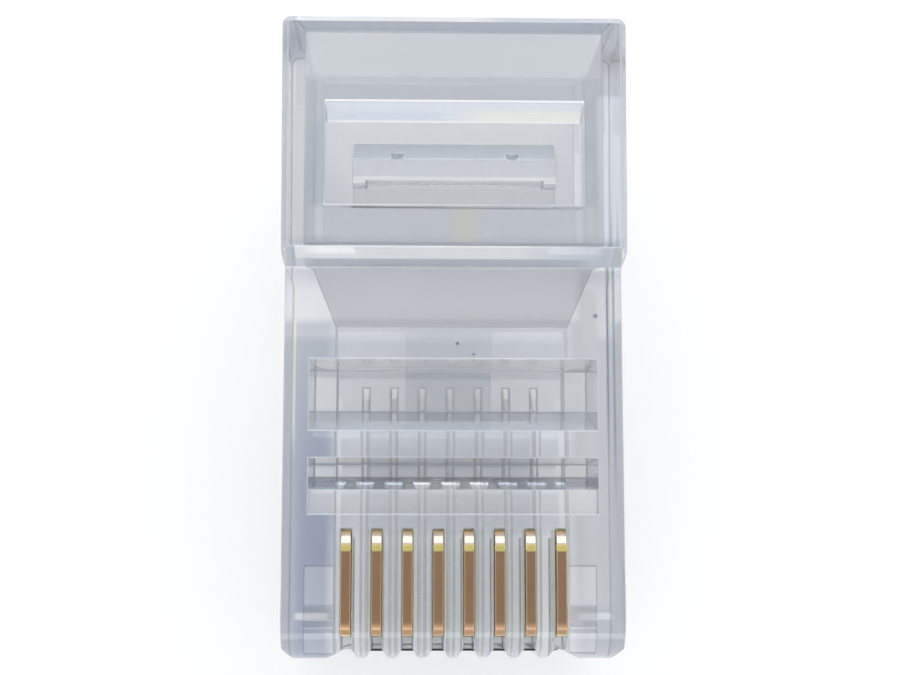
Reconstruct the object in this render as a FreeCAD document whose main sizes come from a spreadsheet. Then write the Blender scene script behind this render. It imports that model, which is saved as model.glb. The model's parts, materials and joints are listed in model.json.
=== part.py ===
import FreeCAD, Part
import math
import os
import Sketcher

# Clear eight-way modular plug, not crimped, lying on its latch with the contacts up.
# Every sub-part is drawn level: X across the plug, Y from the nose to the tail, Z from the latch
# face up to the contacts. One common placement then lays the plug down on its two feet, the
# root of the latch under the nose and the tip of the latch lever.

SIZES = [
    # housing, outside
    ("overall_length", 21.5), ("front_width", 11.4), ("shoulder_width", 11.52), ("tail_width", 11.64),
    ("front_height", 6.6), ("rear_height", 8.0), ("shoulder_start", 13.08), ("shoulder_run", 0.45),
    ("side_step_run", 0.25), ("nose_round", 1.5), ("nose_corner", 0.35), ("tail_edge", 0.2),
    ("tail_corner", 0.3), ("shoulder_blend", 0.12),
    # underside of the nose, beside the latch root
    ("under_nose_run", 0.74), ("under_nose_rise", 0.35), ("root_gap", 0.35),
    ("key_inner", 4.12), ("key_outer", 5.2), ("key_front", 1.35), ("key_rear", 3.08),
    ("key_depth", 0.33),
    # contact blades
    ("contact_pitch", 1.016), ("contact_start", 0.78), ("contact_length", 3.47),
    ("contact_thickness", 0.33), ("contact_stand", 0.37), ("contact_height", 4.0), ("head_height", 2.0),
    ("head_front_round", 0.5), ("head_rear_round", 0.6), ("leg_front_inset", 0.37),
    ("leg_rear_inset", 0.3), ("prong_height", 0.9), ("prong_tip", 0.08), ("crimp_travel", 0.95),
    # slots for the blades, and the fins between them
    ("slot_clearance", 0.015), ("slot_end_gap", 0.05), ("sill_height", 4.9), ("nose_recess", 0.28),
    ("fin_base", 0.57), ("fin_tip", 0.29), ("end_slope_start", 0.1), ("end_slope_run", 0.6),
    # conductor passage
    ("passage_floor", 1.7), ("passage_height", 1.15), ("passage_start", 0.9), ("passage_end", 11.4),
    ("passage_side", 0.02), ("rib_height", 0.55), ("rib_base", 0.26), ("rib_top", 0.16),
    ("rib_end", 9.5), ("rib_ramp", 0.9),
    # jacket cavity
    ("cavity_wall", 0.77), ("cavity_floor", 1.0), ("roof_thickness", 1.0), ("cavity_front", 13.8),
    ("cavity_corner_width", 0.35), ("cavity_corner_height", 0.6), ("mouth_chamfer", 0.4),
    # conductor strain relief: a bar left standing between two deep recesses and one shallow one
    ("relief_wall", 0.86), ("relief_membrane", 0.2), ("relief_rear", 9.97), ("bar_rear", 7.57),
    ("bar_front", 6.64), ("bar_foot_run", 0.93), ("relief_foot", 6.17), ("relief_lip", 5.61),
    ("ledge_front", 4.78), ("ledge_depth", 0.35),
    # jacket strain relief: a hinged wedge in a window of the roof
    ("window_margin", 0.72), ("window_front", 14.97), ("window_rear", 18.5), ("window_slope_run", 0.5),
    ("wedge_gap", 0.92), ("wedge_front", 15.78), ("wedge_rear", 17.27), ("wedge_sink", 0.05),
    ("wedge_flat", 0.75), ("wedge_rear_drop", 0.9), ("wedge_depth", 2.0), ("wedge_apex_back", 0.35),
    ("web_thickness", 0.35), ("web_lift", 0.02), ("web_anchor", 0.4),
    ("lug_width", 0.46), ("lug_step", 0.13), ("lug_sink", 0.1),
    ("dimple_radius", 0.2), ("dimple_reach", 1.92), ("dimple_back", 0.92), ("dimple_depth", 0.35),
    # latch root under the nose, and the latch lever
    ("latch_width", 6.2), ("root_front", 0.15), ("root_rear", 1.1), ("root_height", 1.2),
    ("root_round", 0.4), ("root_overlap", 0.2), ("hinge_back", 1.45), ("hinge_drop", 0.62),
    ("lever_thickness", 1.0), ("hinge_clearance", 0.02), ("lever_angle", 9.0), ("lock_reach", 6.9),
    ("lever_reach", 13.9), ("tab_width", 3.25), ("tab_thin", 0.1), ("pad_length", 1.6),
    ("lock_corner", 0.25),
]
CONTACT_COUNT = 8
PRONG_COUNT = 3
# Widths that follow from the walls and gaps beside them.
CAVITY_WIDTH = "(tail_width - 2 * cavity_wall)"
WINDOW_WIDTH = "(%s - 2 * window_margin)" % CAVITY_WIDTH
WEDGE_WIDTH = "(%s - 2 * wedge_gap)" % WINDOW_WIDTH
RELIEF_WIDTH = "(front_width - 2 * relief_wall)"
# Round tip of a fin, tangent to its two leaning sides.
FIN_LEAN = "atan((fin_base - fin_tip) / (2 * nose_recess))"
FIN_ROUND = "(fin_tip / 2 * cos(%s) / (1 - sin(%s)))" % (FIN_LEAN, FIN_LEAN)
# How far cutting sketches run past the faces they cut.
MARGIN = 1.0

doc = FreeCAD.newDocument("modular_plug")
sheet = doc.addObject("Spreadsheet::Sheet", "sizes")
for row, (alias, value) in enumerate(SIZES, start=1):
    sheet.set("A%d" % row, alias)
    sheet.set("B%d" % row, str(value))
    sheet.setAlias("B%d" % row, alias)
doc.recompute()


def size(expression):
    """Value in millimetres of an expression in the sheet's aliases."""
    return float(sheet.evalExpression(named(expression)))


def named(expression):
    """Expression with each alias written as a property of the sheet."""
    words = []
    word = ""
    for letter in expression + " ":
        if letter.isalnum() or letter == "_":
            word += letter
            continue
        words.append("sizes." + word if word in ALIASES else word)
        words.append(letter)
        word = ""
    return "".join(words).strip()


ALIASES = {alias for alias, value in SIZES}


def body(label):
    """New sub-part with its own label."""
    made = doc.addObject("PartDesign::Body", label)
    made.Label = label
    return made


def sketch_on(owner, name, role, offset="0"):
    """Sketch on one of the body's own origin planes, moved along the plane's normal."""
    plane = next(item for item in owner.Origin.OriginFeatures if item.Role == role)
    drawn = owner.newObject("Sketcher::SketchObject", name)
    drawn.AttachmentSupport = [(plane, "")]
    drawn.MapMode = "FlatFace"
    drawn.setExpression(".AttachmentOffset.Base.z", named(offset))
    return drawn


def point_at(across, along):
    """Point of a sketch from two expressions."""
    return FreeCAD.Vector(size(across), size(along), 0)


def outline(drawn, corners):
    """Closed outline whose corners are pairs of expressions. A corner may add a point and the radius
    of an anticlockwise arc that leads to the next corner; otherwise a straight line does."""
    points = [point_at(*corner[:2]) for corner in corners]
    first = drawn.GeometryCount
    count = len(points)
    for index, corner in enumerate(corners):
        start, end = points[index], points[(index + 1) % count]
        if len(corner) > 2:
            drawn.addGeometry(Part.Arc(start, point_at(*corner[2]), end), False)
            hold(drawn, Sketcher.Constraint("Radius", first + index, size(corner[3])), corner[3])
        else:
            drawn.addGeometry(Part.LineSegment(start, end), False)
    for index in range(count):
        following = first + (index + 1) % count
        drawn.addConstraint(Sketcher.Constraint("Coincident", first + index, 2, following, 1))
    for index, corner in enumerate(corners):
        for kind, expression in zip(("DistanceX", "DistanceY"), corner):
            held = Sketcher.Constraint(kind, -1, 1, first + index, 1, size(expression))
            hold(drawn, held, expression)
    for index, corner in enumerate(corners):
        if len(corner) > 2:
            reach = drawn.Geometry[first + index].Center.distanceToPoint(point_at(*corner[2]))
            if not near(reach, corner[3]):
                raise ValueError("arc %d of %s bends the wrong way" % (index, drawn.Name))
    return drawn


def hold(drawn, constraint, expression):
    """Add a constraint whose value follows an expression."""
    number = drawn.addConstraint(constraint)
    drawn.setExpression("Constraints[%d]" % number, named(expression))


def circle(drawn, across, along, radius):
    """Circle whose centre and radius are expressions."""
    round_line = Part.Circle(point_at(across, along), FreeCAD.Vector(0, 0, 1), size(radius))
    index = drawn.addGeometry(round_line, False)
    for kind, expression in (("DistanceX", across), ("DistanceY", along)):
        hold(drawn, Sketcher.Constraint(kind, -1, 1, index, 3, size(expression)), expression)
    hold(drawn, Sketcher.Constraint("Radius", index, size(radius)), radius)
    return drawn


def mirrored(half):
    """Outline that is symmetric about the sketch's upright axis, from its right half."""
    return half + [("-(%s)" % across, along) for across, along in reversed(half)]


def extrusion(owner, kind, name, drawn, length, symmetric=False, reverse=False):
    """Pad or pocket of a sketch; a cut that removes nothing, or a pad that adds nothing, is an error."""
    before = owner.Shape.Volume if owner.Tip else 0.0
    feature = owner.newObject(kind, name)
    feature.Profile = drawn
    feature.SideType = "Symmetric" if symmetric else "One side"
    feature.Reversed = reverse
    feature.setExpression("Length", named(length))
    doc.recompute()
    change = owner.Shape.Volume - before
    if (change <= 0) == (kind == "PartDesign::Pad"):
        raise ValueError("%s changes the volume by %.4f" % (name, change))
    return feature


def pad(owner, name, drawn, length, symmetric=False, reverse=False):
    return extrusion(owner, "PartDesign::Pad", name, drawn, length, symmetric, reverse)


def pocket(owner, name, drawn, length, symmetric=False, reverse=False):
    return extrusion(owner, "PartDesign::Pocket", name, drawn, length, symmetric, reverse)


def row_across(owner, name, feature, count, pitch):
    """Repeat a feature along +X."""
    pattern = owner.newObject("PartDesign::LinearPattern", name)
    pattern.Originals = [feature]
    across = next(item for item in owner.Origin.OriginFeatures if item.Role == "X_Axis")
    pattern.Direction = (across, [""])
    pattern.Mode = "Spacing"
    pattern.setExpression("Offset", named(pitch))
    pattern.Occurrences = count
    owner.Tip = pattern
    doc.recompute()
    return pattern


def edges_where(feature, test):
    """Names of the feature's edges whose ends and middle all pass the test."""
    found = []
    for number, edge in enumerate(feature.Shape.Edges, start=1):
        middle = edge.valueAt((edge.FirstParameter + edge.LastParameter) / 2)
        if all(test(point) for point in [middle] + [vertex.Point for vertex in edge.Vertexes]):
            found.append("Edge%d" % number)
    return found


def dressed(owner, kind, name, test, length):
    """Fillet or chamfer of the tip's edges that pass the test."""
    base = owner.Tip
    feature = owner.newObject(kind, name)
    feature.Base = (base, edges_where(base, test))
    feature.setExpression("Radius" if kind == "PartDesign::Fillet" else "Size", named(length))
    doc.recompute()
    if feature.State != ["Up-to-date"]:
        raise ValueError("%s is %s on %s" % (name, feature.State, feature.Base[1]))
    return feature


def near(value, expression):
    """Whether a coordinate is the expression's value."""
    return abs(value - size(expression)) < 1e-4


def make_contact(number):
    """Blade with a rounded head and pointed prongs, drawn in the plane of its own thickness."""
    blade = body("contact_%d" % number)
    top = "front_height + contact_stand"
    shoulder = top + " - head_height"
    tips = top + " - contact_height"
    valleys = tips + " + prong_height"
    leg_front = "contact_start + leg_front_inset"
    leg_rear = "contact_start + contact_length - leg_rear_inset"
    corners = [("contact_start", top), ("contact_start", shoulder), (leg_front, shoulder)]
    for prong in range(PRONG_COUNT):
        share = "(contact_length - leg_front_inset - leg_rear_inset) / %d" % PRONG_COUNT
        start = "%s + %s * %d" % (leg_front, share, prong)
        corners.append((start, valleys))
        corners.append(("%s + %s / 2 - prong_tip / 2" % (start, share), tips))
        corners.append(("%s + %s / 2 + prong_tip / 2" % (start, share), tips))
    corners.append((leg_rear, valleys))
    corners.append((leg_rear, shoulder))
    corners.append(("contact_start + contact_length", shoulder))
    corners.append(("contact_start + contact_length", top))
    drawn = outline(sketch_on(blade, "blade_side_%d" % number, "YZ_Plane"), corners)
    pad(blade, "blade_%d" % number, drawn, "contact_thickness", symmetric=True)
    for side, place in (("front", "contact_start"), ("rear", "contact_start + contact_length")):
        dressed(blade, "PartDesign::Fillet", "head_%s_%d" % (side, number),
                lambda point, place=place: near(point.y, place) and near(point.z, top),
                "head_%s_round" % side)
    return blade


def make_housing():
    """The whole clear moulding: block, nose, slots, passages, cavity, relief bars and latch root."""
    housing = body("housing")
    block(housing)
    cavity(housing)
    jacket_relief(housing)
    latch_root(housing)
    nose_underside(housing)
    conductor_relief(housing)
    conductor_passage(housing)
    blade_slots(housing)
    nose_front(housing)
    return housing


def block(housing):
    """Outer form: plan outline, lower front, rounded nose and eased edges."""
    half = [("front_width / 2 - nose_corner", "0"), ("front_width / 2", "nose_corner"),
            ("front_width / 2", "shoulder_start"),
            ("shoulder_width / 2", "shoulder_start + side_step_run"),
            ("tail_width / 2", "overall_length")]
    plan = outline(sketch_on(housing, "plan", "XY_Plane"), mirrored(half))
    pad(housing, "plan_block", plan, "rear_height")
    over = "rear_height + %g" % MARGIN
    ahead = "-%g" % MARGIN
    side = outline(sketch_on(housing, "front_side", "YZ_Plane"), [
        (ahead, "front_height"), ("shoulder_start", "front_height"),
        ("shoulder_start + shoulder_run", "rear_height"),
        ("shoulder_start + shoulder_run", over), (ahead, over)])
    pocket(housing, "front_step", side, "tail_width + %g" % MARGIN, symmetric=True)
    dressed(housing, "PartDesign::Fillet", "nose_top",
            lambda point: near(point.y, "0") and near(point.z, "front_height"), "nose_round")
    dressed(housing, "PartDesign::Fillet", "shoulder_foot",
            lambda point: near(point.y, "shoulder_start") and near(point.z, "front_height"),
            "shoulder_blend")
    dressed(housing, "PartDesign::Fillet", "tail_corners",
            lambda point: near(point.y, "overall_length") and near(abs(point.x), "tail_width / 2"),
            "tail_corner")
    dressed(housing, "PartDesign::Chamfer", "tail_top",
            lambda point: point.y > size("overall_length - tail_corner - 0.01")
            and near(point.z, "rear_height"), "tail_edge")


def cavity_outline(drawn):
    """Section of the jacket cavity, with its lower corners cut off."""
    side = CAVITY_WIDTH + " / 2"
    return outline(drawn, mirrored([
        ("%s - cavity_corner_width" % side, "cavity_floor"),
        (side, "cavity_floor + cavity_corner_height"), (side, "rear_height - roof_thickness")]))


def cavity(housing):
    """Jacket cavity, open at the tail."""
    section = cavity_outline(sketch_on(housing, "cavity_section", "XZ_Plane", "-cavity_front"))
    pocket(housing, "jacket_cavity", section, "overall_length - cavity_front + %g" % MARGIN)
    dressed(housing, "PartDesign::Chamfer", "mouth",
            lambda point: near(point.y, "overall_length")
            and abs(point.x) < size(CAVITY_WIDTH + " / 2 + 0.01")
            and size("cavity_floor - 0.01") < point.z < size("rear_height - roof_thickness + 0.01"),
            "mouth_chamfer")


def conductor_passage(housing):
    """Flat passage under the contacts, guide ribs on its floor, and the funnel that leads to it."""
    half_width = "contact_pitch * %d / 2 + passage_side" % CONTACT_COUNT
    ceiling = "passage_floor + passage_height"
    section = outline(sketch_on(housing, "passage_section", "XZ_Plane", "-passage_start"),
                      mirrored([(half_width, "passage_floor"), (half_width, ceiling)]))
    pocket(housing, "passage", section, "passage_end - passage_start")
    wide = cavity_outline(sketch_on(housing, "funnel_wide", "XZ_Plane", "-cavity_front"))
    third = "passage_floor + passage_height / 3"
    narrow = outline(sketch_on(housing, "funnel_narrow", "XZ_Plane", "-passage_end"),
                     mirrored([(half_width, "passage_floor"), (half_width, third), (half_width, ceiling)]))
    before = housing.Shape.Volume
    funnel = housing.newObject("PartDesign::SubtractiveLoft", "funnel")
    funnel.Profile = wide
    funnel.Sections = [narrow]
    funnel.Ruled = True
    doc.recompute()
    if housing.Shape.Volume >= before:
        raise ValueError("funnel cuts nothing")
    middle = "-contact_pitch * (%d - 2) / 2" % CONTACT_COUNT
    rib_section = outline(sketch_on(housing, "rib_section", "XZ_Plane", "-passage_start"), [
        ("%s - rib_base / 2" % middle, "passage_floor"), ("%s + rib_base / 2" % middle, "passage_floor"),
        ("%s + rib_top / 2" % middle, "passage_floor + rib_height"),
        ("%s - rib_top / 2" % middle, "passage_floor + rib_height")])
    rib = pad(housing, "rib", rib_section, "rib_end - passage_start", reverse=True)
    row_across(housing, "ribs", rib, CONTACT_COUNT - 1, "contact_pitch")
    ramp = outline(sketch_on(housing, "rib_ramp_side", "YZ_Plane"), [
        ("rib_end", "passage_floor"), ("rib_end", "passage_floor + passage_height"),
        ("rib_end - rib_ramp", "passage_floor + passage_height"),
        ("rib_end - rib_ramp", "passage_floor + rib_height")])
    pocket(housing, "rib_ramps", ramp, "2 * (%s)" % half_width, symmetric=True)


def blade_slots(housing):
    """One slot for each blade, open at the top and over the sill at the nose."""
    first = "-contact_pitch * (%d - 1) / 2" % CONTACT_COUNT
    front = "contact_start - slot_end_gap"
    rear = "contact_start + contact_length + slot_end_gap"
    leg_front = front + " + leg_front_inset"
    leg_rear = rear + " - leg_rear_inset"
    over = "rear_height + %g" % MARGIN
    ahead = "-%g" % MARGIN
    head_floor = "front_height + contact_stand - head_height - crimp_travel - slot_end_gap"
    depth = "passage_floor + (rib_height + passage_height) / 2"
    side = outline(sketch_on(housing, "slot_side", "YZ_Plane", first), [
        (ahead, over), (ahead, "sill_height"), (front, "sill_height"), (front, head_floor),
        (leg_front, head_floor), (leg_front, depth), (leg_rear, depth), (leg_rear, head_floor),
        (rear, head_floor), (rear, over)])
    slot = pocket(housing, "slot", side, "contact_thickness + 2 * slot_clearance", symmetric=True)
    row_across(housing, "slots", slot, CONTACT_COUNT, "contact_pitch")


def nose_front(housing):
    """Front of the nose, cut back between round-tipped fins that guide the wires of a jack."""
    ahead = "-%g" % MARGIN
    reach = "contact_pitch / 2"

    def flank(slot, side):
        """Corners of half a fin from its tip to its foot, on one side of a slot's middle."""
        turn = "(45 deg - %s / 2)" % FIN_LEAN
        tip = "%s %s (%s - " % (slot, side, reach)
        return [(tip + "0)", "0"),
                (tip + "%s * sin(%s))" % (FIN_ROUND, turn), "%s * (1 - cos(%s))" % (FIN_ROUND, turn)),
                (tip + "%s * cos(%s))" % (FIN_ROUND, FIN_LEAN),
                 "%s * (1 - sin(%s))" % (FIN_ROUND, FIN_LEAN)),
                (tip + "fin_base / 2)", "nose_recess")]

    slot = "-contact_pitch * (%d - 3) / 2" % CONTACT_COUNT
    tip, bend, side, foot = flank(slot, "-")
    far_tip, far_bend, far_side, far_foot = flank(slot, "+")
    between = outline(sketch_on(housing, "groove_plan", "XY_Plane"), [
        (tip[0], ahead), tip + (bend, FIN_ROUND), side, foot, far_foot,
        far_side + (far_bend, FIN_ROUND), far_tip, (far_tip[0], ahead)])
    groove = pocket(housing, "groove", between, "front_height + %g" % MARGIN, reverse=True)
    row_across(housing, "grooves", groove, CONTACT_COUNT - 2, "contact_pitch")
    for name, sign, inward in (("left", "-", "+"), ("right", "", "-")):
        slot = "%scontact_pitch * (%d - 1) / 2" % (sign, CONTACT_COUNT)
        tip, bend, side, foot = flank(slot, inward)
        outward = "-" if sign else "+"
        slope = "%s %s end_slope_start" % (slot, outward)
        end = "%s %s end_slope_run" % (slope, outward)
        corners = [(tip[0], ahead), tip, side, foot, (slope, "nose_recess"), (end, "0"), (end, ahead)]
        if sign:
            corners.reverse()
        start = corners.index(side if sign else tip)
        corners[start] += (bend, FIN_ROUND)
        beside = outline(sketch_on(housing, "end_groove_plan_" + name, "XY_Plane"), corners)
        pocket(housing, "end_groove_" + name, beside, "front_height + %g" % MARGIN, reverse=True)


def nose_underside(housing):
    """Lead-in slopes and shallow pockets of the latch face, on each side of the latch root."""
    under = "-%g" % MARGIN
    slope_start = "(latch_width / 2 + root_gap)"
    for side, sign in (("left", "-"), ("right", "")):
        middle = "%s(%s + front_width / 2) / 2" % (sign, slope_start)
        slope = outline(sketch_on(housing, "lead_in_side_" + side, "YZ_Plane", middle), [
            (under, "under_nose_rise + under_nose_rise / under_nose_run * %g" % MARGIN),
            (under, under), ("under_nose_run + under_nose_run / under_nose_rise * %g" % MARGIN, under)])
        pocket(housing, "lead_in_" + side, slope, "front_width / 2 - %s" % slope_start, symmetric=True)
        middle = "%s(key_inner + key_outer) / 2" % sign
        key = outline(sketch_on(housing, "key_side_" + side, "YZ_Plane", middle), [
            ("key_front - %g" % MARGIN, under), ("key_front + key_depth", "key_depth"),
            ("key_rear", "key_depth"), ("key_rear", under)])
        pocket(housing, "key_" + side, key, "key_outer - key_inner", symmetric=True)


def conductor_relief(housing):
    """Recesses round the bar that is pressed onto the conductors."""
    over = "rear_height + %g" % MARGIN
    floor = "passage_floor + passage_height + relief_membrane"
    behind = outline(sketch_on(housing, "relief_rear_side", "YZ_Plane"), [
        ("relief_rear", over), ("relief_rear", floor), ("bar_rear + bar_foot_run", floor),
        ("bar_rear", "front_height"), ("bar_rear", over)])
    pocket(housing, "relief_behind_bar", behind, RELIEF_WIDTH, symmetric=True)
    ahead = outline(sketch_on(housing, "relief_front_side", "YZ_Plane"), [
        ("bar_front", over), ("bar_front", floor), ("relief_foot", floor),
        ("relief_lip", "front_height - ledge_depth"), ("ledge_front", "front_height - ledge_depth"),
        ("ledge_front", over)])
    pocket(housing, "relief_ahead_of_bar", ahead, RELIEF_WIDTH, symmetric=True)


def jacket_relief(housing):
    """Window in the roof, and the wedge that hangs in it from a thin web."""
    ceiling = "rear_height - roof_thickness"
    over = "rear_height + %g" % MARGIN
    under = ceiling + " - window_slope_run"
    window = outline(sketch_on(housing, "window_side", "YZ_Plane"), [
        ("window_front", under), ("window_rear - window_slope_run", under),
        ("window_rear - window_slope_run", ceiling), ("window_rear", "rear_height"),
        ("window_rear", over), ("window_front", over)])
    pocket(housing, "window", window, WINDOW_WIDTH, symmetric=True)
    web_floor = ceiling + " + web_lift"
    web_top = web_floor + " + web_thickness"
    top = "rear_height - wedge_sink"
    wedge = outline(sketch_on(housing, "wedge_side", "YZ_Plane"), [
        ("window_front - web_anchor", web_floor), ("wedge_front", web_floor),
        ("wedge_rear - wedge_apex_back", "rear_height - wedge_depth"),
        ("wedge_rear", top + " - wedge_rear_drop"), ("wedge_front + wedge_flat", top),
        ("wedge_front", top), ("wedge_front", web_top), ("window_front - web_anchor", web_top)])
    pad(housing, "wedge", wedge, WEDGE_WIDTH, symmetric=True)
    for side, sign in (("left", "-"), ("right", "")):
        middle = "%s(%s - lug_width) / 2" % (sign, WEDGE_WIDTH)
        lug = outline(sketch_on(housing, "lug_side_" + side, "YZ_Plane", middle), [
            ("wedge_front - lug_step", web_top + " - lug_sink"),
            ("wedge_front + lug_sink", web_top + " - lug_sink"),
            ("wedge_front + lug_sink", top), ("wedge_front - lug_step", top)])
        pad(housing, "lug_" + side, lug, "lug_width", symmetric=True)
        dimple = circle(sketch_on(housing, "dimple_plan_" + side, "XY_Plane", top + " - dimple_depth"),
                        sign + "dimple_reach", "wedge_front + dimple_back", "dimple_radius")
        pocket(housing, "dimple_" + side, dimple, "dimple_depth + %g" % MARGIN, reverse=True)


def latch_root(housing):
    """Foot under the nose that carries the latch lever, hollowed to the lever's round root."""
    foot = outline(sketch_on(housing, "root_side", "YZ_Plane"), [
        ("root_front", "root_overlap"), ("root_front", "-root_height"), ("root_rear", "-root_height"),
        ("root_rear", "root_overlap")])
    pad(housing, "latch_foot", foot, "latch_width", symmetric=True)
    dressed(housing, "PartDesign::Fillet", "latch_foot_round",
            lambda point: near(point.y, "root_front") and near(point.z, "-root_height"), "root_round")
    hollow = circle(sketch_on(housing, "root_hollow", "YZ_Plane"), "hinge_back", "-hinge_drop",
                    "lever_thickness / 2 + hinge_clearance")
    pocket(housing, "latch_socket", hollow, "latch_width + %g" % MARGIN, symmetric=True)


def make_lever():
    """Latch lever, drawn along its own length from the hinge: wide to the locking shoulders, then a tab."""
    lever = body("latch_lever")
    half = "lever_thickness / 2"
    side = outline(sketch_on(lever, "lever_side", "YZ_Plane"), [
        ("0", half), ("0", "-" + half), ("lock_reach", "-" + half),
        ("lock_reach + lock_corner", "-(%s - tab_thin)" % half),
        ("lever_reach - pad_length", "-(%s - tab_thin)" % half),
        ("lever_reach - pad_length + 2 * tab_thin", "-" + half),
        ("lever_reach - %s" % half, "-" + half), ("lever_reach - %s" % half, half)])
    pad(lever, "lever_arm", side, "latch_width", symmetric=True)
    root = circle(sketch_on(lever, "lever_root_side", "YZ_Plane"), "0", "0", half)
    pad(lever, "lever_root", root, "latch_width", symmetric=True)
    tip = circle(sketch_on(lever, "lever_tip_side", "YZ_Plane"), "lever_reach - %s" % half, "0", half)
    pad(lever, "lever_tip", tip, "latch_width", symmetric=True)
    beside = outline(sketch_on(lever, "tab_plan", "XY_Plane", "-lever_thickness"), [
        ("tab_width / 2", "lock_reach"), ("latch_width", "lock_reach"),
        ("latch_width", "lever_reach + %g" % MARGIN), ("tab_width / 2", "lever_reach + %g" % MARGIN)])
    outline(beside, [
        ("-tab_width / 2", "lock_reach"), ("-latch_width", "lock_reach"),
        ("-latch_width", "lever_reach + %g" % MARGIN), ("-tab_width / 2", "lever_reach + %g" % MARGIN)])
    pocket(lever, "locking_shoulders", beside, "2 * lever_thickness", reverse=True)
    return lever


def lie_down(parts, level_placements):
    """Pitch the plug nose-down until the latch root and the lever tip both touch the ground."""
    lever_angle = math.radians(size("lever_angle"))
    root_radius = size("root_round")
    tip_radius = size("lever_thickness / 2")
    arm = size("lever_reach - lever_thickness / 2")
    root_y = size("root_front + root_round")
    root_z = size("root_round - root_height")
    tip_y = size("hinge_back") + arm * math.cos(lever_angle)
    tip_z = -size("hinge_drop") - arm * math.sin(lever_angle)
    slope = math.atan2(root_z - tip_z, tip_y - root_y)
    lean = math.asin((tip_radius - root_radius) / math.hypot(tip_y - root_y, tip_z - root_z))
    pitch = math.degrees(slope + lean)
    turned = FreeCAD.Placement(FreeCAD.Vector(), FreeCAD.Rotation(FreeCAD.Vector(1, 0, 0), pitch))
    shapes = []
    for part in parts:
        shape = part.Shape.copy()
        shape.Placement = turned.multiply(level_placements[part.Label])
        shapes.append(shape)
    bounds = Part.makeCompound(shapes).optimalBoundingBox(True, False)
    middle = FreeCAD.Vector(0, (bounds.YMin + bounds.YMax) / 2, bounds.ZMin)
    laid = FreeCAD.Placement(FreeCAD.Vector() - middle, turned.Rotation)
    for part in parts:
        part.Placement = laid.multiply(level_placements[part.Label])
    print("pitch %.3f degrees" % pitch, "placement", laid.Base)


def level_placement(across, along, up, angle=0.0):
    return FreeCAD.Placement(FreeCAD.Vector(across, along, up),
                             FreeCAD.Rotation(FreeCAD.Vector(1, 0, 0), angle))


def check(parts):
    """Stop if any object failed or any sub-part isn't one valid solid."""
    for item in doc.Objects:
        if "Invalid" in item.State or "Error" in item.State:
            raise ValueError("%s is %s" % (item.Name, item.State))
    for part in parts:
        if part.Shape.isNull() or not part.Shape.isValid() or len(part.Shape.Solids) != 1:
            raise ValueError("%s is not one valid solid" % part.Label)


parts = [make_housing(), make_lever()]
placements = {
    "housing": level_placement(0, 0, 0),
    "latch_lever": level_placement(0, size("hinge_back"), -size("hinge_drop"), -size("lever_angle")),
}
for contact_index in range(CONTACT_COUNT):
    contact = make_contact(contact_index + 1)
    across = (contact_index - (CONTACT_COUNT - 1) / 2) * size("contact_pitch")
    placements[contact.Label] = level_placement(across, 0, 0)
    parts.append(contact)
lie_down(parts, placements)
doc.recompute()
check(parts)
os.makedirs("parts", exist_ok=True)
for part in parts:
    part.Shape.exportStep("parts/%s.step" % part.Label)
    print("%-12s %8.3f mm3" % (part.Label, part.Shape.Volume))
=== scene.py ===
import json
import math
import bpy
from mathutils import Euler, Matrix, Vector

bl_info = {
    "name": "Clear modular plug",
    "version": (1, 0, 0),
    "blender": (4, 5, 0),
    "location": "View3D > Sidebar > Plug",
    "description": "Finishes and studio for a clear modular plug that lies on its latch",
    "category": "Object",
}

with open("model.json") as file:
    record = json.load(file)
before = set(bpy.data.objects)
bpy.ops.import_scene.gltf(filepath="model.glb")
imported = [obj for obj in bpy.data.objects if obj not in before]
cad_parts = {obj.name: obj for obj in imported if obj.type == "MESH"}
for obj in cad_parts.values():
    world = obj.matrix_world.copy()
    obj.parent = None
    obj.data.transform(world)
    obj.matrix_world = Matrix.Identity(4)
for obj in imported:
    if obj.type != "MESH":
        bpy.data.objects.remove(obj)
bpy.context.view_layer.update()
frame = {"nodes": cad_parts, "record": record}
NODES = frame["nodes"]
MM = 0.001
CONTACTS = sorted(name for name in NODES if name.startswith("contact_"))

# The plug's own level frame: X across, Y from the nose to the tail, Z up from the latch face.
MOUNTS = {mount["name"]: mount for mount in frame["record"]["mounts"]}
UP = Vector(MOUNTS["contact_side_face"]["axis"])
PITCH = math.atan2(-UP.y, UP.z)
NOSE = Vector(MOUNTS["jack_insertion"]["pos_m"])
LATCH_FACE = Vector(MOUNTS["latch_side_face"]["pos_m"])
LEVEL_ORIGIN = NOSE - UP * UP.dot(NOSE - LATCH_FACE)
TO_LEVEL = Euler((PITCH, 0.0, 0.0)).to_matrix().transposed()


def level(point):
    """A point in the level frame, in millimetres."""
    return TO_LEVEL @ (point - LEVEL_ORIGIN) / MM


# All lengths from here to the settings are in millimetres in the level frame.
FRONT_HALF_WIDTH = level(Vector(MOUNTS["right_guide_face"]["pos_m"])).x
FRONT_HEIGHT = level(Vector(MOUNTS["contact_side_face"]["pos_m"])).z
LENGTH = level(Vector(MOUNTS["cable_entry"]["pos_m"])).y
CONTACT_PITCH = 1.016

# How near a face lies to the outline to count as an outer face, and the same for the rear roof.
SKIN_DEPTH = 0.03
ROOF_DEPTH = 0.09
NOSE_ROUND_END = 1.5

# Heights that part the latch face from the walls, and the walls from the top.
UNDERSIDE = 0.5
UPPER_SIDE = 2.5
RECESS_FLOOR_LOW = 3.00
RECESS_FLOOR_HIGH = 3.10

# Fades, each from where it is 0 to where it is 1. The hollows under the roof, whose outer faces get
# painted light, by the distance from the middle and then by the place behind the nose.
HOLLOW_SIDES = (4.3, 3.8)
BLADES_REAR = (4.6, 4.0)
PASSAGE_REAR = (11.4, 11.1)
FUNNEL_FRONT = (11.1, 11.4)
FUNNEL_REAR = (13.7, 13.0)
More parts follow.
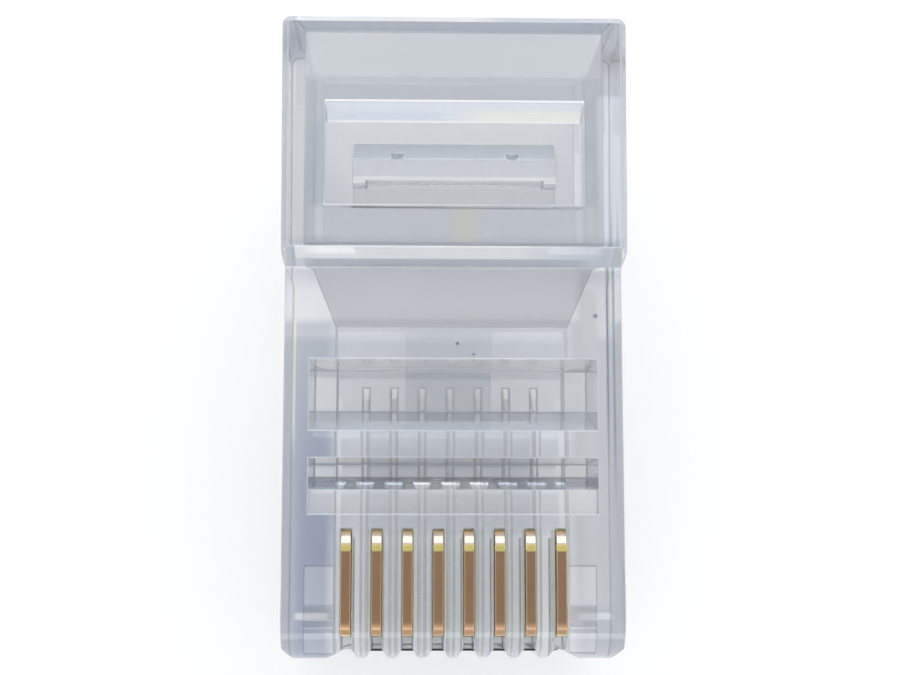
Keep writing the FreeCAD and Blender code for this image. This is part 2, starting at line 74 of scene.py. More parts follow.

# Painted shade on the left front corner: its side near the middle, its outer side and its rear.
SHADED_NEAR = (-3.4, -4.2)
SHADED_OUTER = (-5.6, -5.1)
SHADED_REAR = (11.5, 6.0)

# The slope behind the window, with painted reflections, cool on the left and warm on the right, a
# greyer painted band along its top and a painted highlight at its foot: where it starts, how high
# it lies, and its fades.
SLOPE_START = 17.9
SLOPE_HEIGHT = 7.03
SLOPE_TURN = (-0.5, 1.2)
SLOPE_TOP = (18.22, 18.34)
SLOPE_FOOT = (18.08, 18.04)

# The frosted wedge: end of its front face, which gets a painted highlight, and the ridge behind
# which it falls and gets painted shade.
WEDGE_FRONT = 15.92
WEDGE_RIDGE = 16.53

# Half the width of a pale line of painted light under a guide rib.
RIB_LINE = (0.16, 0.09)

# On the blades: the painted highlight along the top edges by its distance from the middle of the
# gap between two blades, the end of that highlight, the height over the roof above which the head
# takes its top colours, the painted dark reflection and the gold, the polished round by its
# distance from the start of the bright plating, and the dull rear end.
BLADE_HIGHLIGHT_REACH = (0.378, 0.360)
BLADE_HIGHLIGHT_END = 3.6
HEAD_HEIGHT = 0.1
POLISHED_ROUND = (0.18, 0.24)
DULL_END = (4.12, 4.17)

# Areas seen from above: left and right end across, near and far end behind the nose, and width of
# the soft rims across and along.
SOFT = (0.10, 0.10)
CRISP = (0.02, 0.02)
SHARP = (0.01, 0.01)
# Painted light on the latch face under the two recesses.
UNDER_RECESSES = (
    ((-4.90, 4.90), (5.70, 6.60), SOFT),
    ((-4.90, 4.90), (7.70, 9.90), SOFT),
)
# Stretch of the latch face where the painted light lines under the ribs lie.
UNDER_RIBS = ((-4.15, 4.15), (4.30, 9.20), SOFT)
INSIDE_WALLS = ((-5.30, 5.30), (0.00, 22.00), CRISP)
BLADE_SLOTS = ((-3.85, 3.85), (0.70, 4.35), CRISP)

# The sloping front side of the forward recess, which gets painted shade, the height where it
# starts, and its painted glint.
RECESS_SLOPE = ((-4.85, 4.85), (5.62, 6.16), SHARP)
RECESS_SLOPE_FOOT = 3.2
RECESS_GLINT = ((-1.55, 1.40), (5.00, 6.30), SOFT)

# Specks and wider soft darker spots on the upper faces: place across and behind the nose, radius,
# soft rim, and the colour that they let through.
SPECKS = (
    ((0.13, 10.50), 0.03, 0.05, (0.16, 0.18, 0.24)),
    ((0.68, 10.13), 0.02, 0.04, (0.16, 0.18, 0.24)),
    ((4.80, 11.45), 0.04, 0.06, (0.12, 0.16, 0.24)),
    ((3.15, 7.95), 0.02, 0.05, (0.22, 0.24, 0.26)),
    ((-1.77, 16.25), 0.05, 0.05, (0.34, 0.37, 0.42)),
    ((5.15, 13.45), 0.08, 0.25, (0.30, 0.34, 0.42)),
    ((-5.40, 20.60), 0.10, 0.70, (0.42, 0.44, 0.50)),
    ((5.30, 19.90), 0.10, 0.60, (0.46, 0.45, 0.46)),
)

# Painted light and painted shade in wide patches on the outer faces above and below, as areas with
# the colour that they let through.
LIGHT_AND_SHADE_PATCHES = (
    ((-5.00, -4.20), (13.60, 17.60), (0.30, 0.30), (0.55, 0.59, 0.65)),
    ((4.35, 5.20), (1.90, 12.80), (0.30, 0.40), (0.71, 0.73, 0.75)),
    ((4.90, 5.60), (13.90, 18.60), (0.20, 0.20), (0.84, 0.87, 0.93)),
    ((-5.60, -5.10), (13.90, 19.60), (0.20, 0.20), (0.72, 0.74, 0.74)),
    ((-4.60, 4.60), (13.95, 14.80), (0.40, 0.25), (0.73, 0.76, 0.785)),
)

# Painted highlights, painted glints and painted shade as fine lines and patches on the upper faces
# alone, listed in the same way.
LIGHT_AND_SHADE_STREAKS = (
    ((0.05, 0.70), (13.90, 14.70), (0.25, 0.25), (0.76, 0.77, 0.68)),
    ((-4.80, 3.60), (12.97, 13.03), (1.00, 0.04), (1.00, 1.00, 1.00)),
    ((-5.38, -5.33), (7.80, 11.60), (0.06, 1.30), (0.98, 1.00, 0.84)),
    ((5.19, 5.22), (8.50, 12.80), (0.05, 2.50), (0.34, 0.37, 0.44)),
    ((5.40, 5.43), (7.50, 12.80), (0.05, 2.50), (0.34, 0.37, 0.43)),
    ((-4.60, 4.60), (19.40, 20.70), (0.40, 0.40), (0.55, 0.585, 0.61)),
    # Painted glints where the front blocks' top rounds down to the nose.
    ((-5.15, -4.20), (1.36, 1.50), (0.15, 0.08), (1.00, 1.00, 1.00)),
    ((4.20, 5.15), (1.36, 1.50), (0.15, 0.08), (1.00, 1.00, 1.00)),
)

# Areas where the moulded edges get painted highlights, and one where they get painted shade.
EDGE_HIGHLIGHT_AREAS = (
    ((-3.95, 3.95), (9.88, 10.06), CRISP),
    ((-4.40, 4.40), (18.40, 18.60), CRISP),
    ((-5.10, 0.50), (21.10, 21.60), (1.20, 0.02)),
    ((-5.20, 2.00), (13.29, 13.70), (2.00, 0.02)),
    ((-4.40, 0.80), (14.90, 15.05), (1.00, 0.02)),
    ((-2.90, 2.90), (15.60, 15.86), CRISP),
)
SHADED_EDGE = ((-4.60, 4.20), (13.00, 13.25), (0.50, 0.04))

# Slots of the housing's finishes.
CLEAR, MILKY, EDGES, FROSTED, WEDGE, RELIEF, BAR = range(7)

# Faces of the housing that aren't in the clear finish: slot, reach from the middle to both sides,
# reach behind the nose and reach over the latch face. A later row wins over an earlier one.
FINISHED_FACES = (
    (MILKY, (0.00, 3.70), (0.90, 9.50), (1.72, 2.27)),         # guide ribs
    (FROSTED, (0.00, 5.00), (11.42, 13.79), (0.90, 6.50)),     # funnel
    (WEDGE, (0.00, 3.50), (15.60, 17.40), (5.90, 7.97)),       # jacket wedge
    # The ramps of the key pockets take the white frost as a painted glint, and the ledge at the
    # latch foot takes it as painted light.
    (FROSTED, (4.10, 5.30), (1.30, 1.75), (0.02, 0.34)),       # ramps of the key pockets
    (FROSTED, (0.00, 3.20), (0.10, 0.30), (-0.06, 0.06)),      # ledge at the latch foot
    # The shoulder's slope and the tail's chamfer take the edge finish with its painted highlights.
    (EDGES, (0.00, 5.50), (13.10, 13.50), (6.70, 7.90)),       # slope of the shoulder
    (EDGES, (0.00, 6.00), (21.30, 22.00), (7.80, 8.20)),       # chamfer of the tail
    (RELIEF, (0.00, 4.80), (6.10, 10.00), (3.00, 3.10)),       # floors of the recesses
    (RELIEF, (0.00, 4.80), (0.90, 11.40), (1.68, 1.72)),       # floor of the passage
    (RELIEF, (0.00, 4.80), (0.90, 11.40), (2.83, 2.87)),       # ceiling of the passage
    (BAR, (0.00, 4.80), (7.60, 8.50), (3.10, 6.50)),           # sloping side of the relief bar
)

# Grain of the surfaces: cells per metre of the noise, and strength and depth of the marks.
HAZE_SCALE = 900.0
FLOW_SCALE = 450.0
FLOW_STRENGTH = 0.15
FLOW_DEPTH = 0.004
WEAR_SCALE = 1500.0
WEAR_RANGE = (0.8, 1.25)
DRAWN_SCALE = (9000.0, 500.0, 500.0)
DRAWN_STRENGTH = 0.2
DRAWN_DEPTH = 0.003

# Rounded edges: corners this close are joined, faces this flat are one, edges this sharp are cut.
JOINED = 0.001
FLAT_ANGLE = math.radians(0.5)
SHARP_ANGLE = math.radians(25)
EDGE_STEPS = 2

# Soft lamps: name, size, place and colour, in metres. The setting of the same name is the power.
LAMPS = (
    ("tail_lamp", (0.46, 0.44), (0.04, 0.30, 0.20), (1.0, 0.97, 0.92)),
    ("nose_lamp", (0.30, 0.10), (-0.08, -0.32, 0.16), (0.94, 0.97, 1.0)),
)
LAMP_AIM = (0.0, 0.0, 0.006)

# Upward part of a direction at which the overhead light starts and is full.
OVERHEAD_START, OVERHEAD_FULL = 0.80, 0.98


class PlasticFinish(bpy.types.PropertyGroup):
    """Clear moulded polycarbonate of the housing and the latch lever"""
    skin_tint: bpy.props.FloatVectorProperty(
        name="Outer tint", description="Colour that the outer faces let through", subtype="COLOR",
        size=3, min=0.0, max=1.0, default=(0.61, 0.64, 0.69))
    # Painted shade: the darker, bluer tint of the left front corner and of the forward recess's
    # slope.
    painted_shade_tint: bpy.props.FloatVectorProperty(
        name="Shaded tint", description="Colour that the left front corner lets through",
        subtype="COLOR", size=3, min=0.0, max=1.0, default=(0.43, 0.47, 0.59))
    # Painted light: lighter tint on the outer faces over the hollows, on the sides and under the
    # recesses, and how much of it each gets.
    painted_light_tint: bpy.props.FloatVectorProperty(
        name="Lifted tint", description="Colour that the outer faces over the hollows let through",
        subtype="COLOR", size=3, min=0.0, max=1.0, default=(0.96, 0.98, 1.0))
    side_light_lift: bpy.props.FloatProperty(
        name="Side lift", description="How much clearer the sides are than the top",
        subtype="FACTOR", min=0.0, max=1.0, default=0.5)
    passage_light_lift: bpy.props.FloatProperty(
        name="Passage lift", description="How much clearer the roof is over the passage",
        subtype="FACTOR", min=0.0, max=1.0, default=0.7)
    recess_light_lift: bpy.props.FloatProperty(
        name="Recess lift", description="How much clearer the latch face is under the recesses",
        subtype="FACTOR", min=0.0, max=1.0, default=0.7)
    # Painted light: pale lines on the latch face under the guide ribs.
    rib_line_light_tint: bpy.props.FloatVectorProperty(
        name="Rib line tint", description="Colour of the milky lines under the guide ribs",
        subtype="COLOR", size=3, min=0.0, max=1.0, default=(1.0, 1.0, 0.95))
    inner_tint: bpy.props.FloatVectorProperty(
        name="Inner tint", description="Colour that the inner walls let through",
        subtype="COLOR", size=3, min=0.0, max=1.0, default=(0.985, 0.99, 0.995))
    # Painted reflections on the slope behind the window: cool on the left, warm on the right,
    # greyer along its top.
    slope_left: bpy.props.FloatVectorProperty(
        name="Slope tint, left", description="Left end of the slope behind the window",
        subtype="COLOR", size=3, min=0.0, max=1.0, default=(0.64, 0.69, 0.79))
    slope_right: bpy.props.FloatVectorProperty(
        name="Slope tint, right", description="Right end of the slope behind the window",
        subtype="COLOR", size=3, min=0.0, max=1.0, default=(0.86, 0.85, 0.74))
    slope_rim: bpy.props.FloatVectorProperty(
        name="Slope tint, top", description="Top of the slope behind the window",
        subtype="COLOR", size=3, min=0.0, max=1.0, default=(0.68, 0.72, 0.80))
    wedge_tint: bpy.props.FloatVectorProperty(
        name="Wedge tint", description="Colour that the frosted wedge lets through",
        subtype="COLOR", size=3, min=0.0, max=1.0, default=(0.80, 0.82, 0.84))
    # Painted shade on the wedge's falling rear.
    wedge_rear_shade: bpy.props.FloatVectorProperty(
        name="Wedge tint, rear", description="Colour that the wedge's falling rear lets through",
        subtype="COLOR", size=3, min=0.0, max=1.0, default=(0.66, 0.70, 0.76))
    # Painted highlight: the pale tint of the rounded edges.
    edge_highlight_tint: bpy.props.FloatVectorProperty(
        name="Edge tint", description="Colour of the whitened edges",
        subtype="COLOR", size=3, min=0.0, max=1.0, default=(0.72, 0.75, 0.81))
    # White for the painted highlights and glints, and for the frost of the funnel, the key pockets'
    # ramps and the latch ledge.
    highlight_and_frost_tint: bpy.props.FloatVectorProperty(
        name="Bright edge tint", description="Colour of the edges that shine, and of the funnel",
        subtype="COLOR", size=3, min=0.0, max=1.0, default=(1.0, 1.0, 1.0))
    # Painted reflection: dark green along the edges of the blade slots.
    slot_edge_reflection: bpy.props.FloatVectorProperty(
        name="Slot edge tint", description="Colour of the edges along the blade slots",
        subtype="COLOR", size=3, min=0.0, max=1.0, default=(0.56, 0.62, 0.53))
    shoulder_shade: bpy.props.FloatVectorProperty(
        name="Shoulder shade", description="Colour of the foot of the shoulder",
        subtype="COLOR", size=3, min=0.0, max=1.0, default=(0.50, 0.54, 0.59))
    rib_tint: bpy.props.FloatVectorProperty(
        name="Rib tint", description="Colour of the milky guide ribs",
        subtype="COLOR", size=3, min=0.0, max=1.0, default=(0.98, 1.0, 0.96))
    relief_tint: bpy.props.FloatVectorProperty(
        name="Relief tint", description="Colour of the recess floors and of the passage",
        subtype="COLOR", size=3, min=0.0, max=1.0, default=(0.98, 0.99, 1.0))
    relief_slope: bpy.props.FloatVectorProperty(
        name="Relief slope tint", description="Colour of the sloping side of the relief bar",
        subtype="COLOR", size=3, min=0.0, max=1.0, default=(0.58, 0.62, 0.70))
    lever_tint: bpy.props.FloatVectorProperty(
        name="Lever tint", description="Colour that the thin latch lever lets through",
        subtype="COLOR", size=3, min=0.0, max=1.0, default=(0.93, 0.95, 0.97))
    clarity: bpy.props.FloatProperty(
        name="Clarity", description="Share of light that passes straight, the rest is scattered",
        subtype="FACTOR", min=0.5, max=1.0, default=0.75)
    milky_clarity: bpy.props.FloatProperty(
        name="Rib clarity", description="The same for the guide ribs",
        subtype="FACTOR", min=0.5, max=1.0, default=0.85)
    lever_clarity: bpy.props.FloatProperty(
        name="Lever clarity", description="The same for the latch lever",
        subtype="FACTOR", min=0.5, max=1.0, default=0.96)
    relief_clarity: bpy.props.FloatProperty(
        name="Relief clarity", description="The same for the recess floors and the passage",
        subtype="FACTOR", min=0.5, max=1.0, default=1.0)
    frosted_clarity: bpy.props.FloatProperty(
        name="Frosted clarity", description="The same for edges, funnel, wedge and the bar's slope",
        subtype="FACTOR", min=0.5, max=1.0, default=0.5)
    refraction: bpy.props.FloatProperty(
        name="Refraction", description="Index of refraction of polycarbonate", default=1.585)
    gloss_low: bpy.props.FloatProperty(
        name="Polished roughness", description="Roughness where the mould is polished",
        subtype="FACTOR", min=0.0, max=1.0, default=0.02)
    gloss_high: bpy.props.FloatProperty(
        name="Handled roughness", description="Roughness where the plastic is handled",
        subtype="FACTOR", min=0.0, max=1.0, default=0.09)
    gloss_inner: bpy.props.FloatProperty(
        name="Inner roughness", description="Roughness of the walls moulded by the cores",
        subtype="FACTOR", min=0.0, max=1.0, default=0.08)
    wedge_roughness: bpy.props.FloatProperty(
        name="Wedge roughness", description="Roughness of the frosted wedge",
        subtype="FACTOR", min=0.0, max=1.0, default=0.4)
    funnel_roughness: bpy.props.FloatProperty(
        name="Funnel roughness", description="Roughness of the frosted funnel",
        subtype="FACTOR", min=0.0, max=1.0, default=0.9)
    rear_height: bpy.props.FloatProperty(
        name="Rear height", description="Height of the rear block over the latch face",
        subtype="DISTANCE", unit="LENGTH", precision=4, default=0.008)
    shoulder: bpy.props.FloatProperty(
        name="Shoulder", description="Start of the rear block behind the nose",
        subtype="DISTANCE", unit="LENGTH", precision=4, default=0.0131)
    edge_radius: bpy.props.FloatProperty(
        name="Edge radius", description="Radius of the moulded edges",
        subtype="DISTANCE", unit="LENGTH", precision=5, default=0.000035)


class ContactFinish(bpy.types.PropertyGroup):
    """Gold-plated contact blades"""
    gold: bpy.props.FloatVectorProperty(
        name="Gold", description="Colour of the bright plating on the rounded head",
        subtype="COLOR", size=3, min=0.0, max=1.0, default=(0.98, 0.84, 0.28))
    pale_gold: bpy.props.FloatVectorProperty(
        name="Pale gold", description="Colour of the polished rear round",
        subtype="COLOR", size=3, min=0.0, max=1.0, default=(0.72, 0.60, 0.50))
    plating: bpy.props.FloatVectorProperty(
        name="Plating", description="Colour of the flat sides and legs",
        subtype="COLOR", size=3, min=0.0, max=1.0, default=(0.85, 0.68, 0.36))
    # Painted dark reflection: brown on the flat top of each blade.
    top_reflection_brown: bpy.props.FloatVectorProperty(
        name="Copper", description="Colour of the flat top, where the bronze shows through",
        subtype="COLOR", size=3, min=0.0, max=1.0, default=(0.45, 0.275, 0.16))
    # Painted highlight along the top edges of the blades.
    blade_highlight_tint: bpy.props.FloatVectorProperty(
        name="Stamped edge", description="Colour of the rubbed edges along the top",
        subtype="COLOR", size=3, min=0.0, max=1.0, default=(0.66, 0.43, 0.27))
    bare_end: bpy.props.FloatVectorProperty(
        name="Bare end", description="Colour of the dull rear end",
        subtype="COLOR", size=3, min=0.0, max=1.0, default=(0.62, 0.40, 0.16))
    bare_metallic: bpy.props.FloatProperty(
        name="Bare end, metallic", description="How metallic the dull rear end is",
        subtype="FACTOR", min=0.0, max=1.0, default=0.3)
    plated_from: bpy.props.FloatProperty(
        name="Plated from", description="Where the bright plating starts, behind the nose",
        subtype="DISTANCE", unit="LENGTH", precision=5, default=0.00355)
    roughness: bpy.props.FloatProperty(
        name="Roughness", description="Mean roughness of the worn plating",
        subtype="FACTOR", min=0.0, max=1.0, default=0.3)
    edge_radius: bpy.props.FloatProperty(
        name="Edge radius", description="Radius of the stamped edges",
        subtype="DISTANCE", unit="LENGTH", precision=5, default=0.00002)


class StudioSettings(bpy.types.PropertyGroup):
    """Floor, lamps and camera"""
    floor_colour: bpy.props.FloatVectorProperty(
        name="Floor colour", description="Colour of the floor",
        subtype="COLOR", size=3, min=0.0, max=1.0, default=(0.93, 0.93, 0.93))
    floor_lift: bpy.props.FloatProperty(
        name="Floor lift", description="Share of plain white in the floor as it is seen",
        subtype="FACTOR", min=0.0, max=1.0, default=0.45)
    floor_white: bpy.props.FloatProperty(
        name="Floor white", description="Strength of that plain white", default=1.15)
    floor_width: bpy.props.FloatProperty(
        name="Floor width", description="Width of the floor",
        subtype="DISTANCE", unit="LENGTH", default=3.0)
    room_colour: bpy.props.FloatVectorProperty(
        name="Room colour", description="Colour of the even light from the room",
        subtype="COLOR", size=3, min=0.0, max=1.0, default=(0.93, 0.95, 1.0))
    world_strength: bpy.props.FloatProperty(
        name="Room light", description="Strength of the even light from the room", default=0.98)
    overhead: bpy.props.FloatProperty(
        name="Overhead light", description="Strength of the room light straight above", default=0.5)
    tail_lamp: bpy.props.FloatProperty(
        name="Tail lamp", description="Power of the lamp behind the tail", unit="POWER",
        default=0.80)
    nose_lamp: bpy.props.FloatProperty(
        name="Nose lamp", description="Power of the lamp before the nose", unit="POWER",
        default=0.18)
    light_paths: bpy.props.IntProperty(
        name="Light paths", description="Surfaces that light may pass on its way through the plug",
        default=28)
    scattered_paths: bpy.props.IntProperty(
        name="Scattered paths", description="Times that light may be scattered on its way",
        default=10)
    camera_aim: bpy.props.FloatVectorProperty(
        name="Camera aim", description="Point over the plug's top that the camera looks at",
        subtype="TRANSLATION", unit="LENGTH", precision=5, size=3,
        default=(-0.00009, -0.000281, 0.008))
    camera_distance: bpy.props.FloatProperty(
        name="Camera distance", description="From the lens to the point that it looks at",
        subtype="DISTANCE", unit="LENGTH", precision=4, default=0.0559)
    camera_lens: bpy.props.FloatProperty(
        name="Lens", description="Focal length in millimetres on a 36 mm sensor", unit="CAMERA",
        default=64.9)
    camera_turn: bpy.props.FloatVectorProperty(
        name="Camera turn", description="Rotation of the camera about X, Y and Z", subtype="EULER",
        unit="ROTATION", default=(math.radians(16.08), math.radians(-1.46), math.radians(-0.19)))


def new_material(name, kind="ShaderNodeBsdfPrincipled"):
    """Material with one shader linked to its output."""
    made = bpy.data.materials.new(name)
    made.use_nodes = True
    tree = made.node_tree
    tree.nodes.clear()
    shader = tree.nodes.new(kind)
    output = tree.nodes.new("ShaderNodeOutputMaterial")
    tree.links.new(shader.outputs[0], output.inputs["Surface"])
    return made, tree, shader


def feed(tree, value, socket):
    """Link a value to a socket, or set it there if it is a plain number."""
    if isinstance(value, bpy.types.NodeSocket):
        tree.links.new(value, socket)
    else:
        socket.default_value = value


def arithmetic(tree, operation, *values):
    """One step of arithmetic on sockets or numbers."""
    made = tree.nodes.new("ShaderNodeMath")
    made.operation = operation
    for value, socket in zip(values, made.inputs):
        feed(tree, value, socket)
    return made.outputs["Value"]


def multiply(tree, first, *others):
    """Product of masks and numbers."""
    for other in others:
        first = arithmetic(tree, "MULTIPLY", first, other)
    return first


def largest(tree, first, *others):
    """Largest of several masks."""
    for other in others:
        first = arithmetic(tree, "MAXIMUM", first, other)
    return first


def above(tree, value, limit):
    """1 where a length is above a limit, otherwise 0."""
    return arithmetic(tree, "GREATER_THAN", value, limit * MM)


def below(tree, value, limit):
    """1 where a length is below a limit, otherwise 0."""
    return arithmetic(tree, "LESS_THAN", value, limit * MM)


def ramp(tree, value, start, end):
    """0 before start, 1 after end and even in between."""
    made = tree.nodes.new("ShaderNodeMapRange")
    made.inputs["From Min"].default_value = start
    made.inputs["From Max"].default_value = end
    tree.links.new(value, made.inputs["Value"])
    return made.outputs["Result"]


def fade(tree, value, reach):
    """Ramp of a length over a reach."""
    return ramp(tree, value, reach[0] * MM, reach[1] * MM)


def spread(tree, factor, low, high):
    """Map a factor from 0..1 to low..high."""
    made = tree.nodes.new("ShaderNodeMapRange")
    made.inputs["To Min"].default_value = low
    made.inputs["To Max"].default_value = high
    tree.links.new(factor, made.inputs["Value"])
    return made.outputs["Result"]


def mix_colour(tree, factor, first, second):
    """Blend of two colours or colour sockets."""
    made = tree.nodes.new("ShaderNodeMix")
    made.data_type = "RGBA"
    tree.links.new(factor, made.inputs["Factor"])
    for name, colour in (("A", first), ("B", second)):
        plain = not isinstance(colour, bpy.types.NodeSocket)
        feed(tree, (*colour, 1.0) if plain else colour, made.inputs[name])
    return made.outputs["Result"]


def object_place(tree):
    """Place on the object at each shaded point."""
    return tree.nodes.new("ShaderNodeTexCoord").outputs["Object"]


def noise(tree, place, scale, detail=3.0):
    """Noise texture over a place."""
    made = tree.nodes.new("ShaderNodeTexNoise")
    made.inputs["Scale"].default_value = scale
    made.inputs["Detail"].default_value = detail
    tree.links.new(place, made.inputs["Vector"])
    return made.outputs["Fac"]


def marks(tree, shader, height, strength, depth):
    """Shallow marks in a surface."""
    bump = tree.nodes.new("ShaderNodeBump")
    bump.inputs["Strength"].default_value = strength
    bump.inputs["Distance"].default_value = depth * MM
    tree.links.new(height, bump.inputs["Height"])
    tree.links.new(bump.outputs["Normal"], shader.inputs["Normal"])


def level_axes(tree):
    """Place across the middle, behind the nose and over the latch face, at each shaded point."""
    mapping = tree.nodes.new("ShaderNodeMapping")
    mapping.vector_type = "TEXTURE"
    mapping.inputs["Location"].default_value = LEVEL_ORIGIN
    mapping.inputs["Rotation"].default_value = (PITCH, 0.0, 0.0)
    tree.links.new(object_place(tree), mapping.inputs["Vector"])
    split = tree.nodes.new("ShaderNodeSeparateXYZ")
    tree.links.new(mapping.outputs["Vector"], split.inputs["Vector"])
    return tuple(split.outputs)


def area(tree, axes, across, along, soft):
    """1 in a rectangle seen from above, fading out over its soft rims."""
    sides = []
    for value, (low, high), rim in zip(axes, (across, along), soft):
        sides.append(fade(tree, value, (low - rim, low)))
        sides.append(fade(tree, value, (high + rim, high)))
    return multiply(tree, *sides)


def spot(tree, axes, place, radius, soft):
    """1 in a round spot seen from above, fading out over its soft rim."""
    seen_from_above = tree.nodes.new("ShaderNodeCombineXYZ")
    tree.links.new(axes[0], seen_from_above.inputs["X"])
    tree.links.new(axes[1], seen_from_above.inputs["Y"])
    reach = tree.nodes.new("ShaderNodeVectorMath")
    reach.operation = "DISTANCE"
    tree.links.new(seen_from_above.outputs["Vector"], reach.inputs[0])
    reach.inputs[1].default_value = (place[0] * MM, place[1] * MM, 0.0)
    return fade(tree, reach.outputs["Value"], (radius + soft, radius))


def from_gap(tree, across):
    """Distance from the middle of the nearest gap between two blades."""
    return arithmetic(tree, "PINGPONG", across, CONTACT_PITCH / 2 * MM)


def side_skin(tree, across):
    """1 on both sides of the front block and beyond them."""
    limit = FRONT_HALF_WIDTH - SKIN_DEPTH
    return largest(tree, above(tree, across, limit), below(tree, across, -limit))


def outer_skin(tree, finish, axes):
    """1 on the outer faces of the moulding and on the recess floors, 0 on its inner walls."""
    across, along, up = axes
    return largest(
        tree,
        below(tree, up, SKIN_DEPTH),
        multiply(tree, below(tree, along, finish.shoulder / MM),
                 above(tree, up, FRONT_HEIGHT - SKIN_DEPTH)),
        multiply(tree, above(tree, up, RECESS_FLOOR_LOW), below(tree, up, RECESS_FLOOR_HIGH)),
        below(tree, along, NOSE_ROUND_END),
        above(tree, up, finish.rear_height / MM - ROOF_DEPTH),
        side_skin(tree, across),
        below(tree, along, SKIN_DEPTH),
        above(tree, along, LENGTH - SKIN_DEPTH))


def hollows(tree, finish, axes, upper):
    """How much painted light the roof gets over the hollows: most over the funnel and the blades.
    """
    across, along, _ = axes
    over = fade(tree, arithmetic(tree, "ABSOLUTE", across), HOLLOW_SIDES)
    passage = multiply(tree, fade(tree, along, PASSAGE_REAR), finish.passage_light_lift, upper)
    blades = fade(tree, along, BLADES_REAR)
    funnel = multiply(tree, fade(tree, along, FUNNEL_FRONT), fade(tree, along, FUNNEL_REAR))
    return largest(tree, multiply(tree, largest(tree, passage, blades), over), funnel)


def skin_colour(tree, finish, axes, upper):
    """What the outer faces let through, with painted light, painted shade and painted highlights.
    """
    across, along, up = axes
    under = below(tree, up, UNDERSIDE)
    # Painted shade: the left front corner is tinted darker and bluer.
    shade = multiply(tree, fade(tree, across, SHADED_NEAR), fade(tree, across, SHADED_OUTER),
                     fade(tree, along, SHADED_REAR))
    tint = mix_colour(tree, shade, finish.skin_tint, finish.painted_shade_tint)
    # Painted light: the outer faces over the hollows, on the sides and under the recesses are
    # tinted lighter.
    under_recesses = largest(tree, *(area(tree, axes, *place) for place in UNDER_RECESSES))
    light_lift_mask = largest(tree, hollows(tree, finish, axes, upper),
                     multiply(tree, under, under_recesses, finish.recess_light_lift),
                     multiply(tree, side_skin(tree, across), finish.side_light_lift))
    tint = mix_colour(tree, light_lift_mask, tint, finish.painted_light_tint)
    # Painted light: pale lines on the latch face under the guide ribs.
    rib_light_lines = multiply(tree, fade(tree, from_gap(tree, across), RIB_LINE),
                     area(tree, axes, *UNDER_RIBS))
    tint = mix_colour(tree, multiply(tree, under, rib_light_lines), tint, finish.rib_line_light_tint)
    # Painted light and painted shade in wide patches.
    for *place, colour in LIGHT_AND_SHADE_PATCHES:
        tint = mix_colour(tree, area(tree, axes, *place), tint, colour)
    # Painted highlights, glints and shade on the upper faces alone.
    for *place, colour in LIGHT_AND_SHADE_STREAKS:
        tint = mix_colour(tree, multiply(tree, upper, area(tree, axes, *place)), tint, colour)
    return tint


def inner_colour(tree, finish, axes):
    """What the inner walls let through, with painted reflections and a painted highlight on the
    slope behind the window, and painted shade and a painted glint on the slope of the forward
    recess.
    """
    across, along, up = axes
    # Painted reflections on the slope behind the window, and a painted highlight at its foot.
    slope = mix_colour(tree, fade(tree, across, SLOPE_TURN), finish.slope_left, finish.slope_right)
    slope = mix_colour(tree, fade(tree, along, SLOPE_TOP), slope, finish.slope_rim)
    slope = mix_colour(tree, fade(tree, along, SLOPE_FOOT), slope, finish.highlight_and_frost_tint)
    behind_window = multiply(tree, above(tree, along, SLOPE_START), above(tree, up, SLOPE_HEIGHT))
    tint = mix_colour(tree, behind_window, finish.inner_tint, slope)
    # Painted shade on the slope of the forward recess, with a painted glint in its middle.
    recess_slope = multiply(tree, above(tree, up, RECESS_SLOPE_FOOT),
                            area(tree, axes, *RECESS_SLOPE))
    recess_tint = mix_colour(tree, area(tree, axes, *RECESS_GLINT), finish.painted_shade_tint,
                             finish.highlight_and_frost_tint)
    return mix_colour(tree, recess_slope, tint, recess_tint)


def handled_gloss(tree, finish):
    """Roughness that wanders between polished and handled."""
    return spread(tree, noise(tree, object_place(tree), HAZE_SCALE), finish.gloss_low,
                  finish.gloss_high)


def mould(tree, shader, finish, clarity, gloss):
    """Refraction, clarity, gloss and faint flow marks of moulded plastic."""
    shader.inputs["IOR"].default_value = finish.refraction
    shader.inputs["Transmission Weight"].default_value = clarity
    feed(tree, gloss, shader.inputs["Roughness"])
    marks(tree, shader, noise(tree, object_place(tree), FLOW_SCALE, 1.0), FLOW_STRENGTH, FLOW_DEPTH)


def clear_plastic(finish):
    """Clear polycarbonate, faintly tinted, with painted light and shade in its tint, hazy from
    handling, rougher where a core formed it.
    """
    material, tree, shader = new_material("clear_polycarbonate")
    axes = level_axes(tree)
    skin = outer_skin(tree, finish, axes)
    upper = above(tree, axes[2], UPPER_SIDE)
    tint = mix_colour(tree, skin, inner_colour(tree, finish, axes),
                      skin_colour(tree, finish, axes, upper))
    upper_skin = multiply(tree, skin, upper)
    for place, radius, soft, colour in SPECKS:
        speck = multiply(tree, upper_skin, spot(tree, axes, place, radius, soft))
        tint = mix_colour(tree, speck, tint, colour)
    tree.links.new(tint, shader.inputs["Base Color"])
    gloss = tree.nodes.new("ShaderNodeMix")
    gloss.inputs["A"].default_value = finish.gloss_inner
    tree.links.new(handled_gloss(tree, finish), gloss.inputs["B"])
    tree.links.new(skin, gloss.inputs["Factor"])
    mould(tree, shader, finish, finish.clarity, gloss.outputs["Result"])
    return material


def plain_plastic(finish, name, colour, clarity, frost=None):
    """The same plastic in one even tint, polished or frosted."""
    material, tree, shader = new_material(name)
    shader.inputs["Base Color"].default_value = (*colour, 1.0)
    mould(tree, shader, finish, clarity, frost or handled_gloss(tree, finish))
    return material


